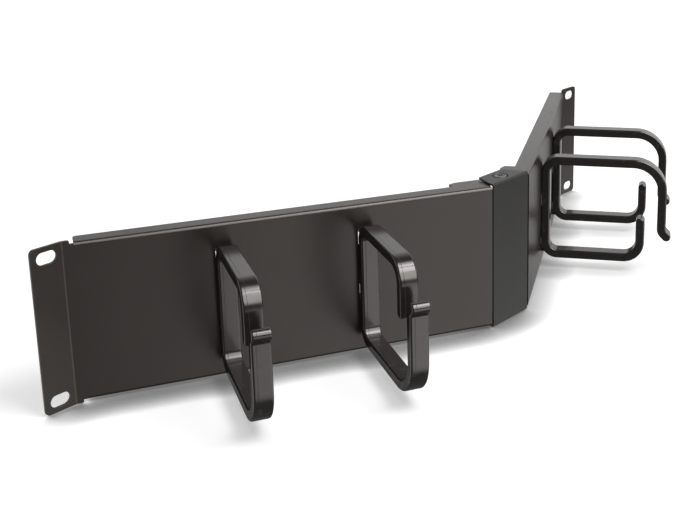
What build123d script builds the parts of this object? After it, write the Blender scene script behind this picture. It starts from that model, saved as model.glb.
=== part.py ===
from build123d import *
from math import cos, hypot, radians, sin, tan
import os

# Angled two-unit cable manager for a 19-inch rack.
# Two folded sheet wings hinge on a folded nose cap, and each wing carries two moulded cable rings.
# The origin is the centre of the rack slots, in the plane of the back faces of the ears.
# X runs along the rack, Y runs to the back of the rack and Z is up.

# Rack sizes
rack_width = 482.6
panel_height = 88.1
slot_to_ear_edge = 8.75
slot_pitch_z = 76.2
slot_length = 11.0
slot_height = 6.6

# Wing sheet
wing_angle = 28.5
wing_sheet = 1.2
wing_bend_inner = 0.8
ear_width = 17.36
ear_bend_inner = 1.6
ear_corner = 2.6
ear_inner_corner = 1.0
flange_depth = 10.2
flange_corner = 1.8
notch_width = 2.0
notch_to_bend = 3.7
notch_below_flange = 0.6

# Hinge tabs and tongues at the nose end of each wing
tab_depth = 19.4
tab_length = 19.8
tab_chamfer_length = 4.7
tab_chamfer_depth = 1.8
tab_corner = 0.8
tongue_end_radius = 6.5
tongue_gap = 0.05

# Nose cap
cap_width = 34.0
cap_sheet = 1.0
cap_bend_inner = 0.3
cap_plate_depth = 15.5
cap_rear_width = 22.0
cap_rear_corner = 1.0
cap_to_wing = 1.3
cap_over_flange = 0.25
pivot_setback = 7.9
dimple_radius = 4.6
dimple_edge = 0.3

# Pivot screw, washers and nut
shank_radius = 2.0
pivot_clearance = 0.05
cap_hole_clearance = 0.2
thread_clearance = 0.03
head_radius = 3.95
head_height = 1.0
head_edge = 0.25
recess_width = 1.0
recess_span = 4.2
recess_depth = 1.7
washer_radius = 4.5
washer_thickness = 0.8
washer_clearance = 0.2
spring_washer_radius = 3.8
spring_washer_thickness = 1.1
spring_washer_split = 0.9
nut_across_flats = 7.0
nut_height = 3.2
screw_past_nut = 1.2
screw_end_chamfer = 0.5

# Cable ring
ring_height = 70.5
ring_reach = 82.0
ring_width = 10.0
ring_thickness = 5.7
ring_edge = 1.1
base_corner = 8.0
outer_arm_corner = 19.0
inner_arm_corner = 10.9
inner_arm_setback = 13.7
inner_arm_top = 30.6
outer_arm_straight_end = 22.0
curl_out = 3.4
curl_down = 3.5
curl_radius = 4.5
ring_centre_below_middle = 1.9
first_ring = 76.0
ring_pitch = 78.0

# Snap legs on the back of the ring and their windows in the wing
window_height = 9.8
window_inside_ring = 0.2
window_corner = 0.6
low_window_centre = 8.8
high_window_centre = 40.9
leg_thickness = 2.2
leg_side_clearance = 0.5
leg_clearance = 0.25
lip_overlap = 1.1
lip_clearance = 0.15
lip_length = 2.6
lip_flat = 0.9
lip_lead_in = 0.7
leg_root = 3.6

# Worked out from the sizes above
wing_inset = cap_sheet + cap_over_flange
wing_height = panel_height - 2 * wing_inset
wing_bend_outer = wing_bend_inner + wing_sheet
face_run = rack_width / 2 - ear_width - cap_width / 2 - cap_to_wing
wing_length = face_run / cos(radians(wing_angle))
ear_back = face_run * tan(radians(wing_angle)) + wing_sheet
nose_y = -ear_back
pivot_y = nose_y + pivot_setback
channel_end = wing_length - notch_to_bend - notch_width
half_panel = panel_height / 2
half_wing = wing_height / 2

# The pivot axis seen in the frame of the right wing, with t outboard along the face and b to the back
pivot_from_face_x = -(cap_width / 2 + cap_to_wing)
pivot_t = pivot_from_face_x * cos(radians(wing_angle)) + pivot_setback * sin(radians(wing_angle))
pivot_b = -pivot_from_face_x * sin(radians(wing_angle)) + pivot_setback * cos(radians(wing_angle))

# Heights above the middle of the panel of what the screw clamps, from the cap inwards
dimple_under = half_panel - head_height - cap_sheet
left_tongue_top = dimple_under - tongue_gap
right_tongue_top = left_tongue_top - wing_sheet - tongue_gap
washer_top = right_tongue_top - wing_sheet - tongue_gap
spring_washer_top = washer_top - washer_thickness
nut_top = spring_washer_top - spring_washer_thickness
screw_end = nut_top - nut_height - screw_past_nut

window_width = ring_width - 2 * window_inside_ring
leg_width = window_width - 2 * leg_side_clearance
ring_bottom = -ring_height / 2 - ring_centre_below_middle
ring_positions = {"inner": first_ring, "outer": first_ring + ring_pitch}


def upright_box(x_range, y_range, z_range):
    """A box between two values on each axis."""
    spans = (x_range, y_range, z_range)
    centre = tuple((low + high) / 2 for low, high in spans)
    size = tuple(high - low for low, high in spans)
    return Pos(*centre) * Box(*size)


def mirrored_pair(top_shape):
    """A shape above the middle of the panel, and its mirror image below."""
    return [top_shape, mirror(top_shape, about=Plane.XY)]


def wing_channel():
    """The face with its top and bottom flanges, folded to the back."""
    outside = upright_rectangle(0, flange_depth, half_wing, wing_bend_outer)
    inside = upright_rectangle(wing_sheet, flange_depth + wing_sheet, half_wing - wing_sheet, wing_bend_inner)
    channel = extrude(outside - inside, amount=channel_end)
    outer_corners = channel.edges().filter_by(Axis.Z).group_by(Axis.X)[-1].group_by(Axis.Y)[-1]
    return fillet(outer_corners, flange_corner)


def upright_rectangle(front, back, half_height, front_radius):
    """A rectangle across the wing, with its two front corners rounded by the bend."""
    depth = back - front
    flat = Pos((front + back) / 2, 0) * Rectangle(depth, 2 * half_height)
    flat = fillet(flat.vertices().group_by(Axis.X)[0], front_radius)
    return Plane.YZ * flat


def ear_frame():
    """The plane of the front face of the ear, with x outboard and y up, in the frame of the wing."""
    turn = radians(wing_angle)
    return Plane(origin=(wing_length, 0, 0), x_dir=(cos(turn), -sin(turn), 0), z_dir=(-sin(turn), -cos(turn), 0))


def wing_ear():
    """The end of the face past the notches, and the ear that is folded parallel to the rack."""
    turn = radians(wing_angle)
    along = Vector(cos(turn), -sin(turn))
    through = Vector(sin(turn), cos(turn))
    front_tip = Vector(wing_length, 0) + along * ear_width
    back_tip = front_tip + through * wing_sheet
    back_bend = Vector(wing_length + wing_sheet * tan(turn / 2), wing_sheet)
    start = channel_end - notch_width
    plan = make_face(
        Polyline((start, 0), (wing_length, 0), front_tip, back_tip, back_bend, (start, wing_sheet), close=True)
    )
    inner_bend = plan.vertices().sort_by_distance((wing_length, 0))[0]
    plan = fillet(inner_bend, ear_bend_inner)
    outer_bend = plan.vertices().sort_by_distance((back_bend.X, back_bend.Y))[0]
    plan = fillet(outer_bend, ear_bend_inner + wing_sheet)
    ear = extrude(plan, amount=half_panel, both=True)
    normal = Axis((0, 0, 0), (through.X, through.Y, 0))
    tips = ear.edges().filter_by(normal).group_by(Axis.X)[-1]
    ear = fillet(tips, ear_corner)
    for slot_z in (-slot_pitch_z / 2, slot_pitch_z / 2):
        slot_x = ear_width - slot_to_ear_edge
        outline = ear_frame() * Pos(slot_x, slot_z) * SlotOverall(slot_length, slot_height)
        ear -= extrude(outline, amount=2 * wing_sheet, both=True)
    return ear


def relief_notch():
    """The cut between the end of the top flange and the ear, which lets the flange fold."""
    through = (-wing_sheet, flange_depth)
    notch_floor = half_wing - notch_below_flange
    notch = upright_box((channel_end, channel_end + notch_width), through, (notch_floor, panel_height))
    bend_start = half_wing - wing_bend_outer
    beside_bend = upright_box((channel_end - 2 * notch_width, channel_end), through, (bend_start, panel_height))
    return notch + beside_bend


def hinge_tongue(tongue_top):
    """The tab that steps down behind the top flange, and the tongue from it round the pivot screw."""
    step_front = flange_depth - wing_sheet
    points = [
        (0, step_front),
        (tab_length, step_front),
        (tab_length, tab_depth - tab_chamfer_depth),
        (tab_length - tab_chamfer_length, tab_depth),
        (0, tab_depth),
    ]
    tab = make_face(Polyline(*points, close=True))
    tab = fillet([tab.vertices().sort_by_distance(point)[0] for point in points[2:4]], tab_corner)
    seam = Line(points[0], points[-1])
    eye = Pos(pivot_t, pivot_b) * Circle(tongue_end_radius)
    tongue = make_hull([seam] + list(eye.edges()))
    plate = Pos(0, 0, tongue_top - wing_sheet) * extrude(tab + tongue, amount=wing_sheet)
    step = upright_box((0, tab_length), (step_front, flange_depth), (tongue_top - wing_sheet, half_wing))
    hole = Pos(pivot_t, pivot_b, tongue_top) * Cylinder(shank_radius + pivot_clearance, 4 * wing_sheet)
    return (plate + step) - hole


def window_cuts(ring_turned):
    """The two windows for the snap legs of each ring, as solids to cut from the face."""
    cuts = []
    for ring_t in ring_positions.values():
        for height in (low_window_centre, high_window_centre):
            z = ring_bottom + (ring_height - height if ring_turned else height)
            outline = Plane.XZ * Pos(ring_t, z) * RectangleRounded(window_width, window_height, window_corner)
            cuts.append(extrude(outline, amount=2 * wing_sheet, both=True))
    return cuts


def build_wing(tongue_top, ring_turned):
    """One wing in its own frame: t outboard on X, b to the back on Y."""
    wing = wing_channel() + wing_ear()
    for cut in mirrored_pair(relief_notch()):
        wing -= cut
    wing += wing_channel()
    wing = round_notch_corners(wing)
    for tongue in mirrored_pair(hinge_tongue(tongue_top)):
        wing += tongue
    for cut in window_cuts(ring_turned):
        wing -= cut
    return wing.clean()


def round_notch_corners(wing):
    """Rounds the corners of the ear beside the two notches."""
    edges = [
        edge
        for edge in wing.edges().filter_by(Axis.Y)
        if abs(edge.center().X - channel_end - notch_width) < 0.01 and abs(abs(edge.center().Z) - half_panel) < 0.01
    ]
    return fillet(edges, ear_inner_corner)


def ring_path():
    """The middle line of the ring's band, from the curled tip round to the end of the inner arm."""
    half = ring_thickness / 2
    outer_u = ring_reach - half
    inner_u = outer_u - inner_arm_setback
    top = ring_height - half
    points = [
        (outer_u + curl_out, outer_arm_straight_end - curl_down),
        (outer_u, outer_arm_straight_end),
        (outer_u, top),
        (half, top),
        (half, half),
        (inner_u, half),
        (inner_u, inner_arm_top - half),
    ]
    radii = [curl_radius, outer_arm_corner, base_corner, base_corner, inner_arm_corner]
    return FilletPolyline(*points, radius=radii)


def snap_leg(window_centre, outward):
    """One leg of the ring, with its lip behind the sheet. outward is 1 for a lip that points up."""
    edge = window_height / 2 - leg_clearance
    lip_back = -(wing_sheet + lip_clearance)
    tip = lip_back - lip_length
    outline = [
        (leg_root, edge),
        (lip_back, edge),
        (lip_back, edge + leg_clearance + lip_overlap),
        (lip_back - lip_flat, edge + leg_clearance + lip_overlap),
        (tip, edge - lip_lead_in),
        (tip, edge - leg_thickness),
        (leg_root, edge - leg_thickness),
    ]
    points = [(u, window_centre + outward * height) for u, height in outline]
    return extrude(make_face(Polyline(*points, close=True)), amount=leg_width / 2, both=True)


def build_ring():
    """The moulded ring in its own frame: u out of the face on X, up on Y, its width on Z."""
    band = offset(ring_path(), amount=ring_thickness / 2, side=Side.BOTH)
    ring = extrude(make_face(band), amount=ring_width / 2, both=True)
    rims = ring.edges().group_by(Axis.Z)[0] + ring.edges().group_by(Axis.Z)[-1]
    ring = fillet(rims, ring_edge)
    return ring + snap_leg(low_window_centre, -1) + snap_leg(high_window_centre, 1)


def ring_on_wing(ring, ring_t, ring_turned):
    """Sets a ring on the face of a wing, turned half round about its reach if asked."""
    if ring_turned:
        seat = Plane(origin=(ring_t, 0, ring_bottom + ring_height), x_dir=(0, -1, 0), z_dir=(1, 0, 0))
    else:
        seat = Plane(origin=(ring_t, 0, ring_bottom), x_dir=(0, -1, 0), z_dir=(-1, 0, 0))
    return seat * ring


def wing_to_rack(shape, left):
    """Turns a shape from the frame of a wing to the frame of the rack."""
    placed = Pos(cap_width / 2 + cap_to_wing, nose_y, 0) * Rot(0, 0, wing_angle) * shape
    return mirror(placed, about=Plane.YZ) if left else placed


def build_cap():
    """The folded nose cap, with a dished seat for the screw head in its top and bottom plates."""
    outer = nose_rectangle(0, cap_plate_depth, half_panel, cap_bend_inner + cap_sheet)
    inner = nose_rectangle(cap_sheet, cap_plate_depth + cap_sheet, half_panel - cap_sheet, cap_bend_inner)
    folded = extrude(Plane.YZ * (outer - inner), amount=cap_width / 2, both=True)
    half_front = cap_width / 2
    half_rear = cap_rear_width / 2
    straight = cap_sheet + cap_bend_inner
    plan = Polyline(
        (-half_front, 0), (half_front, 0), (half_front, straight), (half_rear, cap_plate_depth),
        (-half_rear, cap_plate_depth), (-half_front, straight), close=True
    )
    plan = make_face(plan)
    plan = fillet(plan.vertices().group_by(Axis.Y)[-1], cap_rear_corner)
    cap = folded & extrude(plan, amount=panel_height, both=True)
    for dish, seat in zip(mirrored_pair(dimple_wall()), mirrored_pair(dimple_seat())):
        cap = (cap + dish) - seat
    return Pos(0, nose_y, 0) * cap


def nose_rectangle(front, back, half_height, front_radius):
    """A rectangle across the cap, with its two front corners rounded by the bend."""
    flat = Pos((front + back) / 2, 0) * Rectangle(back - front, 2 * half_height)
    return fillet(flat.vertices().group_by(Axis.X)[0], front_radius)


def dimple_wall():
    """The outside of the dished seat in the top plate."""
    wall_bottom = half_panel - head_height - cap_sheet
    height = half_panel - wall_bottom
    wall = Pos(0, pivot_setback, wall_bottom + height / 2) * Cylinder(dimple_radius + cap_sheet, height)
    return fillet(wall.edges().group_by(Axis.Z)[0], cap_sheet / 2)


def dimple_seat():
    """The space that the screw head sits in, with the screw hole under it."""
    seat = Pos(0, pivot_setback, half_panel) * Cylinder(dimple_radius, 2 * head_height)
    flare = Pos(0, pivot_setback, half_panel - dimple_edge / 2) * Cone(
        dimple_radius, dimple_radius + dimple_edge, dimple_edge
    )
    hole = Pos(0, pivot_setback, half_panel) * Cylinder(shank_radius + cap_hole_clearance, 8 * cap_sheet)
    return seat + flare + hole


def at_pivot(shape):
    """Moves a shape from the Z axis to the pivot axis."""
    return Pos(0, pivot_y, 0) * shape


def disc(radius, top, thickness):
    """A round plate on the Z axis, hung from its top face."""
    return Pos(0, 0, top - thickness / 2) * Cylinder(radius, thickness)


def build_screw():
    """The top pivot screw: a flat head with a cross recess, and a shank down to the nut."""
    head = disc(head_radius, half_panel, head_height)
    head = fillet(head.edges().group_by(Axis.Z)[-1], head_edge)
    shank = disc(shank_radius, half_panel - head_height, half_panel - head_height - screw_end)
    shank = chamfer(shank.edges().group_by(Axis.Z)[0], screw_end_chamfer)
    recess = cross_recess()
    return head + shank - recess


def cross_recess():
    """The four-armed recess, narrowing as it goes down."""
    arms = []
    for angle in (0, 90):
        mouth = Rot(0, 0, angle) * Rectangle(recess_span, recess_width)
        floor = Rot(0, 0, angle) * Rectangle(recess_span / 2, recess_width / 2)
        arms.append(loft([Pos(0, 0, half_panel) * mouth, Pos(0, 0, half_panel - recess_depth) * floor]))
    return arms[0] + arms[1]


def build_washer():
    """The plain washer under the top tongues."""
    outer = disc(washer_radius, washer_top, washer_thickness)
    return outer - disc(shank_radius + washer_clearance, washer_top, washer_thickness)


def build_spring_washer():
    """The split spring washer between the plain washer and the nut."""
    outer = disc(spring_washer_radius, spring_washer_top, spring_washer_thickness)
    ring = outer - disc(shank_radius + washer_clearance, spring_washer_top, spring_washer_thickness)
    cut_height = 3 * spring_washer_thickness
    split = Box(2 * spring_washer_radius, spring_washer_split, cut_height, align=(Align.MIN, Align.CENTER, Align.CENTER))
    return ring - Pos(0, 0, spring_washer_top) * Rot(30, 0, 0) * split


def build_nut():
    """The hexagon nut, with its corners turned down on both faces."""
    corner_radius = nut_across_flats / 2 / cos(radians(30))
    hexagon = RegularPolygon(corner_radius, 6)
    nut = Pos(0, 0, nut_top - nut_height) * extrude(hexagon, amount=nut_height)
    turned = disc(corner_radius, nut_top, nut_height)
    turned = chamfer(turned.edges(), corner_radius - nut_across_flats / 2)
    bore = disc(shank_radius + thread_clearance, nut_top, nut_height)
    return (nut & turned) - bore


def main():
    os.makedirs("parts", exist_ok=True)
    nodes = {"nose_cap": build_cap()}
    hardware = {
        "pivot_screw": build_screw(),
        "washer": build_washer(),
        "spring_washer": build_spring_washer(),
        "pivot_nut": build_nut(),
    }
    for name, shape in hardware.items():
        top, bottom = mirrored_pair(at_pivot(shape))
        nodes["top_" + name] = top
        nodes["bottom_" + name] = bottom
    sides = {
        "left": (left_tongue_top, True),
        "right": (right_tongue_top, False),
    }
    ring = build_ring()
    for side, (tongue_top, ring_turned) in sides.items():
        left = side == "left"
        nodes[side + "_wing"] = wing_to_rack(build_wing(tongue_top, ring_turned), left)
        for place, ring_t in ring_positions.items():
            seated = ring_on_wing(ring, ring_t, ring_turned)
            nodes[side + "_" + place + "_cable_ring"] = wing_to_rack(seated, left)
    for name, shape in nodes.items():
        export_step(shape, "parts/" + name + ".step")
        print(name, "volume", round(shape.volume, 2), "valid", shape.is_valid)


main()
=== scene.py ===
import math

import bmesh
import bpy
from mathutils import Matrix, Vector


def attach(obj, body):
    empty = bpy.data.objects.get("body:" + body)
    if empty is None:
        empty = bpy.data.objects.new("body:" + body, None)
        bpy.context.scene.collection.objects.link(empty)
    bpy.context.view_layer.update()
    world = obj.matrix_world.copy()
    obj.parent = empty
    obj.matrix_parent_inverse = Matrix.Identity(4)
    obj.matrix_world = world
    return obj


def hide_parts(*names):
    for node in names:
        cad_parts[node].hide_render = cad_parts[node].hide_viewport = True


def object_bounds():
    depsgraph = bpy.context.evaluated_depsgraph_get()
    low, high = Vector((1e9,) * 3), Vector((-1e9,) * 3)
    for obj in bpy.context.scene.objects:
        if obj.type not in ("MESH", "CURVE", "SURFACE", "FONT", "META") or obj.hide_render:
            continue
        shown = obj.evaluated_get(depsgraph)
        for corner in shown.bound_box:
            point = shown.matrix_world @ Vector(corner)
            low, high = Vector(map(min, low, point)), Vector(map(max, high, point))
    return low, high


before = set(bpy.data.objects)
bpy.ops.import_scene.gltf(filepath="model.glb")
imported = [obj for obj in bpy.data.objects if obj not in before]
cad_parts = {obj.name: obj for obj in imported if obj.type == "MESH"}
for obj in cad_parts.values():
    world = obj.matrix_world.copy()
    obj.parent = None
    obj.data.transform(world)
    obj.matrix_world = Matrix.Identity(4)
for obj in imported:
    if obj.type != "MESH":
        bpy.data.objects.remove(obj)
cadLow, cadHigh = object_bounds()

scene = bpy.context.scene
millimetre = 0.001

# the frame's own directions on each wing: along the face, and straight out of its front
wingFrame = {
    "angle": 28.5,  # degrees that each face runs back from the nose
    "noseY": -112.855,  # front of the nose cap, mm
    "faceStart": 18.3,  # mm from the middle to the end of each face
}


def wingPoint(side, along, out, up):
    # a place on a wing in metres, from millimetres along its face, out of its front and up
    turn = math.radians(wingFrame["angle"])
    x = wingFrame["faceStart"] + along * math.cos(turn) + out * math.sin(turn)
    y = wingFrame["noseY"] + along * math.sin(turn) - out * math.cos(turn)
    return Vector((-x if side == "left" else x, y, up)) * millimetre


# ---- small steps for node trees

def addNoise(nodes, links, place, scale, detail=3.0, roughness=0.5):
    noise = nodes.new("ShaderNodeTexNoise")
    noise.inputs["Scale"].default_value = scale
    noise.inputs["Detail"].default_value = detail
    noise.inputs["Roughness"].default_value = roughness
    links.new(place, noise.inputs["Vector"])
    return noise.outputs["Fac"]


def addRange(nodes, links, value, fromLow, fromHigh, toLow, toHigh, smooth=False):
    spread = nodes.new("ShaderNodeMapRange")
    spread.interpolation_type = "SMOOTHSTEP" if smooth else "LINEAR"
    for key, amount in (("From Min", fromLow), ("From Max", fromHigh), ("To Min", toLow), ("To Max", toHigh)):
        spread.inputs[key].default_value = amount
    links.new(value, spread.inputs["Value"])
    return spread.outputs["Result"]


def addMath(nodes, links, kind, first, second):
    step = nodes.new("ShaderNodeMath")
    step.operation = kind
    for socket, value in zip(step.inputs, (first, second)):
        if isinstance(value, (int, float)):
            socket.default_value = value
        else:
            links.new(value, socket)
    return step.outputs[0]


def addColourMix(nodes, links, share, dark, light):
    mix = nodes.new("ShaderNodeMix")
    mix.data_type = "RGBA"
    mix.inputs["A"].default_value = (*dark, 1)
    mix.inputs["B"].default_value = (*light, 1)
    links.new(share, mix.inputs["Factor"])
    return mix.outputs["Result"]


def addSoftEdge(nodes, radius):
    # sharp edges catch the light as if they were rounded
    soft = nodes.new("ShaderNodeBevel")
    soft.samples = 4
    soft.inputs["Radius"].default_value = radius
    return soft.outputs["Normal"]


def addBump(nodes, links, height, strength, distance, before=None):
    bump = nodes.new("ShaderNodeBump")
    bump.inputs["Strength"].default_value = strength
    bump.inputs["Distance"].default_value = distance
    links.new(height, bump.inputs["Height"])
    if before:
        links.new(before, bump.inputs["Normal"])
    return bump.outputs["Normal"]


# ---- camera and light

cameraSetup = {
    "azimuth": 50.19,  # degrees that the camera looks to the right of straight back
    "lookDown": 13.51,
    "roll": -0.66,
    "distance": 0.6585,
    "target": (-0.00339, -0.06286, 0.07401),
    "lens": 56.08,
    "shift": (-0.13, -0.2114),
    "sensorWidth": 36,
    "clip": (0.01, 20),
}


def makeCamera(setup):
    data = bpy.data.cameras.new("photoCamera")
    data.sensor_width = setup["sensorWidth"]
    data.lens = setup["lens"]
    data.shift_x, data.shift_y = setup["shift"]
    data.clip_start, data.clip_end = setup["clip"]
    camera = bpy.data.objects.new("photoCamera", data)
    scene.collection.objects.link(camera)
    azimuth, down, roll = (math.radians(setup[key]) for key in ("azimuth", "lookDown", "roll"))
    ahead = Vector((math.sin(azimuth) * math.cos(down), math.cos(azimuth) * math.cos(down), -math.sin(down)))
    level = Vector((math.cos(azimuth), -math.sin(azimuth), 0))
    upright = level.cross(ahead)
    right = level * math.cos(roll) + upright * math.sin(roll)
    up = upright * math.cos(roll) - level * math.sin(roll)
    turned = Matrix((right, up, -ahead)).transposed().to_4x4()
    camera.matrix_world = Matrix.Translation(Vector(setup["target"]) - ahead * setup["distance"]) @ turned
    scene.camera = camera


lampSetups = {
    # the key light hangs over the front, the fill comes from the right
    "topSoftbox": {"place": (0.10, -0.75, 1.05), "aim": (0, -0.08, 0), "size": (0.75, 0.55), "power": 10.0},
    "rightFill": {"place": (1.5, -0.9, 0.5), "aim": (0, -0.05, 0), "size": (0.9, 0.9), "power": 5.0},
}
worldSetup = {
    "ambient": 0.38,  # even light on everything
    "dim": 0.14,  # what gloss shows between the panels
    "panels": {  # pale panels that gloss shows: direction, cosine where each starts and is full, brightness
        "backdrop": {"direction": (0.83, 0.47, 0.26), "start": 0.66, "full": 0.97, "level": 0.89},
        "frontTable": {"direction": (0.03, -0.92, -0.39), "start": 0.86, "full": 0.99, "level": 2.35},
        "rearWall": {"direction": (-0.60, 0.80, -0.05), "start": 0.62, "full": 0.95, "level": 1.3},
        "rightTable": {"direction": (0.72, -0.48, -0.50), "start": 0.95, "full": 0.999, "level": 2.1},
        "frontSoftbox": {"direction": (0.08, -0.70, 0.71), "start": 0.75, "full": 0.88, "level": 7.0},
    },
}
floorSetup = {
    "halfSize": 4.0,
    "below": 0.0003,  # gap between the object's lowest point and the floor
    "colour": 0.86,
    "cameraLift": 0.46,  # whiteness that only the camera sees
    "farLift": 0.24,  # more of it far from the object, where the lamps no longer reach
    "farStart": 0.22,  # distance from the middle at which that starts, in metres
    "farFull": 1.20,
    "contactReach": 0.024,  # how far the soft shadow in front of the object reaches, in metres
    "contactOpen": (0.50, 0.92),  # openness of the floor at which the shadow is deepest and where it ends
    "contactTone": 0.10,  # share of the floor's light that is left where the shadow is deepest
    "contactSamples": 32,
}


def makeLamp(name, setup):
    data = bpy.data.lights.new(name, "AREA")
    data.shape = "RECTANGLE"
    data.size, data.size_y = setup["size"]
    data.energy = setup["power"]
    lamp = bpy.data.objects.new(name, data)
    scene.collection.objects.link(lamp)
    away = Vector(setup["place"]) - Vector(setup["aim"])
    lamp.matrix_world = Matrix.Translation(setup["place"]) @ away.to_track_quat("Z", "Y").to_matrix().to_4x4()


def addLightPath(nodes, name):
    path = nodes.new("ShaderNodeLightPath")
    return path.outputs[name]


def makeWorld(setup):
    # the camera sees plain white, gloss and glass see the panels, and the rest is even light
    world = bpy.data.worlds.new("paleStudio")
    scene.world = world
    world.use_nodes = True
    nodes, links = world.node_tree.nodes, world.node_tree.links
    nodes.clear()
    heading = nodes.new("ShaderNodeTexCoord").outputs["Generated"]
    level = setup["dim"]
    for panel in setup["panels"].values():
        dot = nodes.new("ShaderNodeVectorMath")
        dot.operation = "DOT_PRODUCT"
        links.new(heading, dot.inputs[0])
        dot.inputs[1].default_value = Vector(panel["direction"]).normalized()
        nearness = dot.outputs["Value"]
        patch = addRange(nodes, links, nearness, panel["start"], panel["full"], 0, panel["level"], True)
        level = addMath(nodes, links, "ADD", patch, level)
    gloss = nodes.new("ShaderNodeBackground")
    links.new(level, gloss.inputs["Strength"])
    even = nodes.new("ShaderNodeBackground")
    even.inputs["Strength"].default_value = setup["ambient"]
    white = nodes.new("ShaderNodeBackground")
    for shade in (gloss, even, white):
        shade.inputs["Color"].default_value = (1, 1, 1, 1)
    white.inputs["Strength"].default_value = 1
    glossy, through = addLightPath(nodes, "Is Glossy Ray"), addLightPath(nodes, "Is Transmission Ray")
    shiny = addMath(nodes, links, "MAXIMUM", glossy, through)
    first = nodes.new("ShaderNodeMixShader")
    links.new(shiny, first.inputs["Fac"])
    links.new(even.outputs[0], first.inputs[1])
    links.new(gloss.outputs[0], first.inputs[2])
    second = nodes.new("ShaderNodeMixShader")
    links.new(addLightPath(nodes, "Is Camera Ray"), second.inputs["Fac"])
    links.new(first.outputs[0], second.inputs[1])
    links.new(white.outputs[0], second.inputs[2])
    links.new(second.outputs[0], nodes.new("ShaderNodeOutputWorld").inputs["Surface"])


def makeFloor(setup, height):
    sheet = bmesh.new()
    bmesh.ops.create_grid(sheet, x_segments=1, y_segments=1, size=setup["halfSize"])
    bmesh.ops.translate(sheet, verts=sheet.verts, vec=(0, 0, height))
    mesh = bpy.data.meshes.new("studioFloor")
    sheet.to_mesh(mesh)
    sheet.free()
    floor = bpy.data.objects.new("studioFloor", mesh)
    scene.collection.objects.link(floor)
    material = bpy.data.materials.new("studioFloor")
    material.use_nodes = True
    nodes, links = material.node_tree.nodes, material.node_tree.links
    nodes.clear()
    # the floor darkens where the object rises behind it, so the contact shadow stays
    backward = nodes.new("ShaderNodeCombineXYZ")
    backward.inputs["X"].default_value = math.sin(math.radians(wingFrame["angle"]))
    backward.inputs["Y"].default_value = math.cos(math.radians(wingFrame["angle"]))
    openness = nodes.new("ShaderNodeAmbientOcclusion")
    openness.samples = setup["contactSamples"]
    openness.inputs["Distance"].default_value = setup["contactReach"]
    links.new(backward.outputs["Vector"], openness.inputs["Normal"])
    tone = addRange(nodes, links, openness.outputs["AO"], *setup["contactOpen"], setup["contactTone"], 1)
    seen = addLightPath(nodes, "Is Camera Ray")
    darkening = addMath(nodes, links, "MULTIPLY", seen, addMath(nodes, links, "SUBTRACT", 1, tone))
    shade = addMath(nodes, links, "SUBTRACT", 1, darkening)
    matt = nodes.new("ShaderNodeBsdfDiffuse")
    links.new(addMath(nodes, links, "MULTIPLY", shade, setup["colour"]), matt.inputs["Color"])
    lift = nodes.new("ShaderNodeEmission")
    lift.inputs["Color"].default_value = (1, 1, 1, 1)
    spread = nodes.new("ShaderNodeVectorMath")
    spread.operation = "LENGTH"
    links.new(nodes.new("ShaderNodeTexCoord").outputs["Object"], spread.inputs[0])
    lifts = (setup["cameraLift"], setup["cameraLift"] + setup["farLift"])
    rising = addRange(nodes, links, spread.outputs["Value"], setup["farStart"], setup["farFull"], *lifts)
    glow = addMath(nodes, links, "MULTIPLY", seen, rising)
    links.new(addMath(nodes, links, "MULTIPLY", glow, tone), lift.inputs["Strength"])
    both = nodes.new("ShaderNodeAddShader")
    links.new(matt.outputs[0], both.inputs[0])
    links.new(lift.outputs[0], both.inputs[1])
    # gloss looks through the floor at the studio's panels
    mix = nodes.new("ShaderNodeMixShader")
    links.new(addLightPath(nodes, "Is Glossy Ray"), mix.inputs["Fac"])
    links.new(both.outputs[0], mix.inputs[1])
    links.new(nodes.new("ShaderNodeBsdfTransparent").outputs[0], mix.inputs[2])
    links.new(mix.outputs[0], nodes.new("ShaderNodeOutputMaterial").inputs["Surface"])
    mesh.materials.append(material)


makeCamera(cameraSetup)
for lampName, lampSetup in lampSetups.items():
    makeLamp(lampName, lampSetup)
makeWorld(worldSetup)
makeFloor(floorSetup, cadLow.z - floorSetup["below"])
scene.view_settings.view_transform = "Standard"
print("studio: camera, lamps and floor are ready")


# ---- finishes

noiseSpan = (0.3, 0.7)  # most values of a noise lie between these


def newMaterial(name):
    material = bpy.data.materials.new(name)
    material.use_nodes = True
    nodes, links = material.node_tree.nodes, material.node_tree.links
    nodes.clear()
    shader = nodes.new("ShaderNodeBsdfPrincipled")
    out = nodes.new("ShaderNodeOutputMaterial")
    links.new(shader.outputs["BSDF"], out.inputs["Surface"])
    place = nodes.new("ShaderNodeTexCoord")
    return material, nodes, links, shader, place.outputs["Object"]


powderCoat = {
    "dark": (0.0155, 0.0120, 0.0104),
    "light": (0.0200, 0.0160, 0.0142),
    "roughness": (0.28, 0.32),
    "cloudScale": 18,
    "fineScale": 260,
    "rubScale": 30,  # soft patches where handling has dulled the coat
    "rubFrom": (0.56, 0.74),
    "rubRoughness": 0.05,
    "peelScale": 900,  # the orange peel of the sprayed coat, about a millimetre across
    "peelStrength": 0.35,
    "peelHeight": 0.0000012,
    "waveScale": 150,  # and the longer waves under it
    "waveStrength": 0.25,
    "waveHeight": 0.0000024,
    "softEdge": 0.00035,
    "shine": (1.0, 0.92, 0.88),
    "bend": 1.42,  # index of refraction, which sets how strongly the coat reflects
}
capCoat = dict(powderCoat)
capCoat.update({
    "dark": (0.0150, 0.0148, 0.0138),
    "light": (0.0195, 0.0192, 0.0182),
    "roughness": (0.36, 0.42),
    "shine": (1.0, 0.97, 0.94),
    "bend": 1.30,
})


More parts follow.
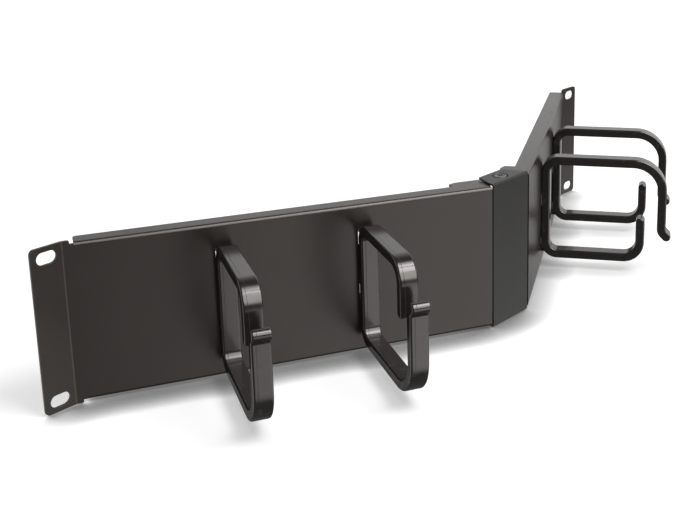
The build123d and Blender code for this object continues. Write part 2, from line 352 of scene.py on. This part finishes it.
def makePowderCoat(name, setup):
    material, nodes, links, shader, place = newMaterial(name)
    cloud = addNoise(nodes, links, place, setup["cloudScale"], 4)
    links.new(addColourMix(nodes, links, cloud, setup["dark"], setup["light"]), shader.inputs["Base Color"])
    fine = addNoise(nodes, links, place, setup["fineScale"], 3)
    low, high = setup["roughness"]
    even = addRange(nodes, links, fine, *noiseSpan, low, high)
    patches = addNoise(nodes, links, place, setup["rubScale"], 4)
    rub = addRange(nodes, links, patches, *setup["rubFrom"], 0, setup["rubRoughness"])
    links.new(addMath(nodes, links, "ADD", even, rub), shader.inputs["Roughness"])
    peel = addNoise(nodes, links, place, setup["peelScale"], 2)
    wave = addNoise(nodes, links, place, setup["waveScale"], 1)
    soft = addSoftEdge(nodes, setup["softEdge"])
    normal = addBump(nodes, links, peel, setup["peelStrength"], setup["peelHeight"], soft)
    normal = addBump(nodes, links, wave, setup["waveStrength"], setup["waveHeight"], normal)
    links.new(normal, shader.inputs["Normal"])
    shader.inputs["IOR"].default_value = setup["bend"]
    shader.inputs["Specular Tint"].default_value = (*setup["shine"], 1)
    return material


ringPlastic = {
    "dark": (0.0165, 0.0145, 0.0138),
    "light": (0.0225, 0.0200, 0.0190),
    "roughness": (0.14, 0.20),
    "cloudScale": 45,
    "fineScale": 420,
    "grainScale": 1500,
    "grainStrength": 0.2,
    "grainHeight": 0.000002,
    "lineFromEdge": 2.6,  # mm from the side of the ring to the mould's parting line
    "lineWidth": 0.30,
    "width": 10.0,
    # centre of the inner arm's bend: mm out, mm up
    "corner": {"left": (54.55, 19.6), "right": (54.55, -23.4)},
    "ridgeStrength": 0.8,
    "ridgeHeight": 0.00006,
    "crossLine": 0.35,  # width of the line across that bend, where two parts of the mould meet
    "scuffScale": 170,  # small dull marks from cables
    "scuffFrom": (0.58, 0.68),
    "scuffColour": (0.036, 0.033, 0.0315),
    "scuffRoughness": 0.10,
    "streakScale": 1100,  # flow lines along the band
    "streakStrength": 0.5,
    "streakHeight": 0.00002,
    "shine": (1.0, 0.94, 0.91),
    "bend": 1.5,
}
ringPlaces = {"inner": 76.0, "outer": 154.0}  # mm along the face to the middle of each ring


def addAcross(nodes, links, place, direction):
    # how far a point lies along a direction
    reach = nodes.new("ShaderNodeVectorMath")
    reach.operation = "DOT_PRODUCT"
    links.new(place, reach.inputs[0])
    reach.inputs[1].default_value = direction
    return reach.outputs["Value"]


lineCore = 0.3  # share of a line's width that stands at its full height


def addLine(nodes, links, across, middle, width):
    # 1 on a thin line, 0 beside it
    off = addMath(nodes, links, "ABSOLUTE", addMath(nodes, links, "SUBTRACT", across, middle), 0)
    half = width / 2 * millimetre
    return addRange(nodes, links, off, half * lineCore, half, 1, 0)


def makeRingPlastic(setup, side, along):
    material, nodes, links, shader, place = newMaterial("blackRingPlastic")
    cloud = addNoise(nodes, links, place, setup["cloudScale"], 3)
    plain = addColourMix(nodes, links, cloud, setup["dark"], setup["light"])
    marks = addNoise(nodes, links, place, setup["scuffScale"], 5, 0.6)
    scuff = addRange(nodes, links, marks, *setup["scuffFrom"], 0, 1)
    marked = nodes.new("ShaderNodeMix")
    marked.data_type = "RGBA"
    links.new(scuff, marked.inputs["Factor"])
    links.new(plain, marked.inputs["A"])
    marked.inputs["B"].default_value = (*setup["scuffColour"], 1)
    links.new(marked.outputs["Result"], shader.inputs["Base Color"])
    fine = addNoise(nodes, links, place, setup["fineScale"], 3)
    low, high = setup["roughness"]
    even = addRange(nodes, links, fine, *noiseSpan, low, high)
    dulled = addMath(nodes, links, "MULTIPLY", scuff, setup["scuffRoughness"])
    links.new(addMath(nodes, links, "ADD", even, dulled), shader.inputs["Roughness"])
    grain = addNoise(nodes, links, place, setup["grainScale"], 2)
    normal = addBump(nodes, links, grain, setup["grainStrength"], setup["grainHeight"])
    # the parting line is a thin ridge in one upright plane, and another line crosses the inner arm's bend
    turn = math.radians(wingFrame["angle"])
    mirrored = -1 if side == "left" else 1
    sideways = Vector((mirrored * math.cos(turn), math.sin(turn), 0))
    outward = Vector((mirrored * math.sin(turn), -math.cos(turn), 0))
    linePlace = wingPoint(side, along + setup["width"] / 2 - setup["lineFromEdge"], 0, 0)
    across = addAcross(nodes, links, place, sideways)
    parting = addLine(nodes, links, across, linePlace.dot(sideways), setup["lineWidth"])
    bendPlace = wingPoint(side, along, *setup["corner"][side])
    toBend = (outward - Vector((0, 0, mirrored))).normalized()
    overBend = (outward + Vector((0, 0, mirrored))).normalized()
    overPlace = addAcross(nodes, links, place, overBend)
    cross = addLine(nodes, links, overPlace, bendPlace.dot(overBend), setup["crossLine"])
    edge = bendPlace.dot(toBend)
    outside = addRange(nodes, links, addAcross(nodes, links, place, toBend), edge, edge + millimetre, 0, 1)
    ridge = addMath(nodes, links, "MAXIMUM", parting, addMath(nodes, links, "MULTIPLY", cross, outside))
    lane = nodes.new("ShaderNodeCombineXYZ")
    links.new(across, lane.inputs["X"])
    streak = addNoise(nodes, links, lane.outputs["Vector"], setup["streakScale"], 2)
    normal = addBump(nodes, links, streak, setup["streakStrength"], setup["streakHeight"], normal)
    normal = addBump(nodes, links, ridge, setup["ridgeStrength"], setup["ridgeHeight"], normal)
    links.new(normal, shader.inputs["Normal"])
    shader.inputs["IOR"].default_value = setup["bend"]
    shader.inputs["Specular Tint"].default_value = (*setup["shine"], 1)
    return material


blackSteel = {"dark": (0.014, 0.0135, 0.013), "light": (0.022, 0.0212, 0.0205), "roughness": (0.26, 0.38)}
zincSteel = {"dark": (0.42, 0.42, 0.41), "light": (0.56, 0.56, 0.55), "roughness": (0.28, 0.42)}
steelGrain = {"cloudScale": 300, "fineScale": 1400, "strength": 0.2, "height": 0.00001}


def makeSteel(name, setup, metal):
    material, nodes, links, shader, place = newMaterial(name)
    cloud = addNoise(nodes, links, place, steelGrain["cloudScale"], 4)
    links.new(addColourMix(nodes, links, cloud, setup["dark"], setup["light"]), shader.inputs["Base Color"])
    fine = addNoise(nodes, links, place, steelGrain["fineScale"], 3)
    low, high = setup["roughness"]
    links.new(addRange(nodes, links, fine, *noiseSpan, low, high), shader.inputs["Roughness"])
    grain = addBump(nodes, links, fine, steelGrain["strength"], steelGrain["height"])
    links.new(grain, shader.inputs["Normal"])
    shader.inputs["Metallic"].default_value = metal
    return material


def dress(node, material):
    # gives a CAD node its finish
    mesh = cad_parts[node].data
    mesh.materials.clear()
    mesh.materials.append(material)


sheetFinish = makePowderCoat("blackPowderCoat", powderCoat)
capFinish = makePowderCoat("capPowderCoat", capCoat)
screwFinish = makeSteel("blackSteel", blackSteel, 0.0)
zincFinish = makeSteel("zincSteel", zincSteel, 1.0)
dress("nose_cap", capFinish)
for sheetNode in ("left_wing", "right_wing"):
    dress(sheetNode, sheetFinish)
for ringSide in ("left", "right"):
    for ringPlace, ringAlong in ringPlaces.items():
        dress(f"{ringSide}_{ringPlace}_cable_ring", makeRingPlastic(ringPlastic, ringSide, ringAlong))
for end in ("top", "bottom"):
    dress(f"{end}_pivot_screw", screwFinish)
    for part in ("washer", "spring_washer", "pivot_nut"):
        dress(f"{end}_{part}", zincFinish)
print("finishes: sheets, rings and hardware are dressed")


# ---- threaded pivot screws and sprung washers

pivotPlace = (0, -104.955)  # the pivot's x and y, mm
pivotScrew = {
    "headUnder": 43.05,  # height of the underside of the top screw's head, mm
    "end": 33.2,
    "majorRadius": 1.98,
    "minorRadius": 1.62,
    "pitch": 0.7,
    "rise": (0.14, 0.45),  # shares of one turn between which the flank rises, and below, falls
    "fall": (0.58, 0.89),
    "tip": 0.5,  # length of the tapered end
    "tipInset": 0.25,  # how far its small end lies inside the minor radius
    "threadBelow": 0.05,  # the thread ends this far under the head, and the head is cut off just above
    "headBelow": 0.02,
    "spareTurns": 1.5,  # turns too many at each end, which are cut off
    "stepsPerTurn": 32,
    "mergeWithin": 0.002,
}
springWasher = {
    "top": 38.7,
    "bottom": 37.6,
    "innerRadius": 2.2,
    "outerRadius": 3.8,
    "thickness": 0.88,
    "gap": 14,  # degrees between the two ends
    "turned": 35,  # degrees from the nose to the gap
    "edge": 0.12,
    "steps": 48,
    "sharpFrom": 1,  # angle between faces, in radians, from which an edge is rounded
}
smoothUpTo = 32  # degrees between faces that are still shaded as one surface


def finishPiece(name, shape, node, material):
    # a shape in metres becomes a piece that rides on the nose in place of its CAD node
    mesh = bpy.data.meshes.new(name)
    shape.to_mesh(mesh)
    shape.free()
    mesh.shade_smooth()
    mesh.set_sharp_from_angle(angle=math.radians(smoothUpTo))
    mesh.materials.append(material)
    piece = bpy.data.objects.new(name, mesh)
    scene.collection.objects.link(piece)
    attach(piece, "nose")
    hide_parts(node)


def toEnd(shape, top):
    # moves a shape in millimetres from the Z axis to the pivot, and mirrors it for the bottom end
    bmesh.ops.translate(shape, verts=shape.verts, vec=(*pivotPlace, 0))
    bmesh.ops.scale(shape, verts=shape.verts, vec=(millimetre, millimetre, millimetre if top else -millimetre))
    if not top:
        bmesh.ops.reverse_faces(shape, faces=shape.faces)


def cutFlat(shape, height, direction):
    # keeps what lies behind a level plane, and closes the cut
    everything = shape.verts[:] + shape.edges[:] + shape.faces[:]
    cut = bmesh.ops.bisect_plane(
        shape, geom=everything, dist=0.00001, clear_outer=True,
        plane_co=(0, 0, height), plane_no=(0, 0, direction),
    )
    rim = [item for item in cut["geom_cut"] if isinstance(item, bmesh.types.BMEdge)]
    bmesh.ops.contextual_create(shape, geom=rim)


def makeThread(setup):
    # one turn's outline is spun up the screw
    thread = bmesh.new()
    pitch, steps = setup["pitch"], setup["stepsPerTurn"]
    low, high = setup["minorRadius"], setup["majorRadius"]
    rise, fall = setup["rise"], setup["fall"]
    outline = ((low, 0), (low, rise[0]), (high, rise[1]), (high, fall[0]), (low, fall[1]), (low, 1))
    start = []
    for radius, share in outline:
        start.append(thread.verts.new((radius, 0, setup["end"] + (share - setup["spareTurns"]) * pitch)))
    edges = [thread.edges.new(pair) for pair in zip(start, start[1:])]
    turns = math.ceil((setup["headUnder"] - setup["end"]) / pitch + 2 * setup["spareTurns"])
    bmesh.ops.spin(
        thread, geom=start + edges, cent=(0, 0, 0), axis=(0, 0, 1), dvec=(0, 0, pitch / steps),
        angle=math.tau * turns, steps=steps * turns,
    )
    bmesh.ops.remove_doubles(thread, verts=thread.verts, dist=setup["mergeWithin"])
    cutFlat(thread, setup["headUnder"] - setup["threadBelow"], 1)
    cutFlat(thread, setup["end"], -1)
    # the end tapers inwards past the root of the thread
    small = low - setup["tipInset"]
    for corner in thread.verts:
        allowed = small + (corner.co.z - setup["end"]) / setup["tip"] * (high - small)
        across = math.hypot(corner.co.x, corner.co.y)
        if across > allowed:
            corner.co.x *= allowed / across
            corner.co.y *= allowed / across
    bmesh.ops.recalc_face_normals(thread, faces=thread.faces)
    return thread


def makePivotScrew(setup, top):
    # the head with its recess comes from the CAD solid, and the shank gets a thread
    node = "top_pivot_screw" if top else "bottom_pivot_screw"
    shape = makeThread(setup)
    toEnd(shape, top)
    head = bmesh.new()
    head.from_mesh(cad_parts[node].data)
    bmesh.ops.remove_doubles(head, verts=head.verts, dist=0.000001)
    outward = -1 if top else 1
    cutFlat(head, -outward * (setup["headUnder"] - setup["headBelow"]) * millimetre, outward)
    joined = bpy.data.meshes.new(node + "_head")
    head.to_mesh(joined)
    head.free()
    shape.from_mesh(joined)
    bpy.data.meshes.remove(joined)
    finishPiece(node + "_threaded", shape, node, screwFinish)


def makeSpringWasher(setup, top):
    # a square wire spun through almost one turn, rising as it goes
    shape = bmesh.new()
    low, high, thick = setup["innerRadius"], setup["outerRadius"], setup["thickness"]
    foot = setup["bottom"]
    corners = ((low, foot), (high, foot), (high, foot + thick), (low, foot + thick))
    wire = shape.faces.new([shape.verts.new((radius, 0, height)) for radius, height in corners])
    turn = math.radians(setup["turned"] + setup["gap"] / 2 - 90)
    bmesh.ops.rotate(shape, verts=shape.verts, cent=(0, 0, 0), matrix=Matrix.Rotation(turn, 3, "Z"))
    rise = setup["top"] - foot - thick
    bmesh.ops.spin(
        shape, geom=[wire], cent=(0, 0, 0), axis=(0, 0, 1), dvec=(0, 0, rise / setup["steps"]),
        angle=math.radians(360 - setup["gap"]), steps=setup["steps"],
    )
    bmesh.ops.recalc_face_normals(shape, faces=shape.faces)
    sharp = [edge for edge in shape.edges if edge.calc_face_angle(0) > setup["sharpFrom"]]
    bmesh.ops.bevel(
        shape, geom=sharp, offset=setup["edge"], offset_type="OFFSET", affect="EDGES",
        segments=2, profile=0.5, material=-1,
    )
    toEnd(shape, top)
    node = "top_spring_washer" if top else "bottom_spring_washer"
    finishPiece(node + "_split", shape, node, zincFinish)


for atTop in (True, False):
    makePivotScrew(pivotScrew, atTop)
    makeSpringWasher(springWasher, atTop)
print("hardware: pivot screws are threaded, spring washers are split")
